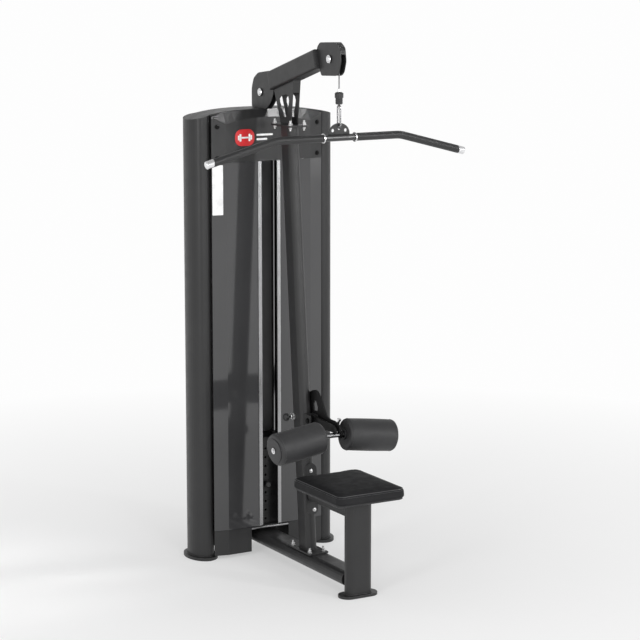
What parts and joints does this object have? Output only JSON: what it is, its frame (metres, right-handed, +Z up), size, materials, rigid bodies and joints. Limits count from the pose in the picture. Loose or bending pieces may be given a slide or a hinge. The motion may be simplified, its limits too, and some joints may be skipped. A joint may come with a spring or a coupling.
{
  "type": "lat pulldown machine",
  "caption": "Selectorized lat pulldown: oval-column weight tower with slotted shroud, overhead cable arm, bent pull bar, padded seat and adjustable thigh rollers.",
  "frame": {"origin": "centre of the machine's bounding box on the floor", "axes": "+Z up, +X across the machine to the user's left when seated facing the tower, -Y towards the user's side, tower at +Y"},
  "size_m": [1.2308, 1.084, 2.2915],
  "materials": {
    "frame_paint": "dark grey powder coat, fine texture",
    "smoked_panel": "smoked grey acrylic, glossy",
    "chrome": "polished chrome plate",
    "steel": "zinc plated steel",
    "stack_black": "black painted steel plate",
    "black_plastic": "moulded black nylon",
    "rubber": "ribbed black rubber",
    "foam": "vinyl covered foam roller",
    "vinyl": "black upholstery vinyl with piped seam",
    "cable": "steel wire rope"
  },
  "bodies": {
    "frame": {"left_upright": "frame_paint", "right_upright": "frame_paint", "left_foot": "frame_paint", "right_foot": "frame_paint", "top_beam": "frame_paint", "header_panel": "frame_paint", "shroud_left": "smoked_panel", "shroud_right": "smoked_panel", "slot_trim_left": "chrome", "slot_trim_right": "chrome", "kick_plate_left": "frame_paint", "kick_plate_right": "frame_paint", "rear_shroud": "smoked_panel", "stack_base": "frame_paint", "base_beam": "frame_paint", "post_base_plate": "frame_paint", "front_post": "frame_paint", "post_top_plate": "frame_paint", "arm_pedestal": "frame_paint", "arm_tube": "frame_paint", "elbow_housing": "frame_paint", "end_housing": "frame_paint", "elbow_axle": "chrome", "end_axle": "chrome", "seat_post": "frame_paint", "seat_foot": "frame_paint", "seat_support": "frame_paint", "seat_cushion": "vinyl", "guide_rod_left": "chrome", "guide_rod_right": "chrome", "pivot_bracket": "frame_paint", "arm_cable": "cable", "stack_cable": "cable", "bar_cable": "cable", "weight_plate_6": "stack_black", "weight_plate_7": "stack_black", "weight_plate_8": "stack_black", "weight_plate_9": "stack_black"},
    "stack": {"head_plate": "stack_black", "selector_stem": "steel", "weight_plate_1": "stack_black", "weight_plate_2": "stack_black", "weight_plate_3": "stack_black", "weight_plate_4": "stack_black", "weight_plate_5": "stack_black"},
    "selector_pin": {"selector_pin": "black_plastic"},
    "elbow_pulley": {"elbow_pulley": "black_plastic"},
    "end_pulley": {"end_pulley": "black_plastic"},
    "hook": {"cable_stop": "black_plastic", "snap_link": "chrome"},
    "bar": {"bar_hanger": "frame_paint", "lat_bar": "chrome", "grip_left": "rubber", "grip_right": "rubber"},
    "pads": {"pad_arm": "stack_black", "pad_sector": "stack_black", "pad_shaft": "chrome"},
    "roller_left": {"roller_left": "foam"},
    "roller_right": {"roller_right": "foam"},
    "pull_pin": {"pull_pin": "black_plastic"}
  },
  "joints": [
    {"name": "stack_lift", "type": "slide", "parent": "frame", "child": "stack", "axis": [0, 0, 1], "range_m": [0, 0.75], "deforming": ["stack_cable"]},
    {"name": "bar_pull", "type": "slide", "parent": "frame", "child": "hook", "axis": [0, 0, -1], "range_m": [0, 0.75], "deforming": ["bar_cable"]},
    {"name": "bar_swivel", "type": "hinge", "parent": "hook", "child": "bar", "pos_m": [0, -0.258, 1.95], "axis": [0, 0, 1], "range_deg": [-30, 30]},
    {"name": "elbow_pulley_spin", "type": "hinge", "parent": "frame", "child": "elbow_pulley", "pos_m": [0, 0.388, 2.05], "axis": [1, 0, 0], "range_deg": [0, 800]},
    {"name": "end_pulley_spin", "type": "hinge", "parent": "frame", "child": "end_pulley", "pos_m": [0, -0.204, 2.2215], "axis": [1, 0, 0], "range_deg": [0, 800]},
    {"name": "selector_pin_pull", "type": "slide", "parent": "stack", "child": "selector_pin", "axis": [0, -1, 0], "range_m": [0, 0.075]},
    {"name": "pad_tilt", "type": "hinge", "parent": "frame", "child": "pads", "pos_m": [0, -0.033, 0.675], "axis": [-1, 0, 0], "range_deg": [0, 48]},
    {"name": "left_pad_spin", "type": "hinge", "parent": "pads", "child": "roller_left", "pos_m": [-0.05, -0.205, 0.643], "axis": [-0.9902, -0.0737, -0.1187], "continuous": true},
    {"name": "right_pad_spin", "type": "hinge", "parent": "pads", "child": "roller_right", "pos_m": [0.05, -0.205, 0.643], "axis": [0.9902, -0.0737, -0.1187], "continuous": true},
    {"name": "pull_pin_slide", "type": "slide", "parent": "frame", "child": "pull_pin", "axis": [1, 0, 0], "range_m": [0, 0.009]}
  ],
  "couplings": [
    {"joint": "bar_pull", "follows": "stack_lift", "ratio": 1},
    {"joint": "elbow_pulley_spin", "follows": "stack_lift", "rad_per_m": 18.518},
    {"joint": "end_pulley_spin", "follows": "stack_lift", "rad_per_m": 18.518}
  ]
}
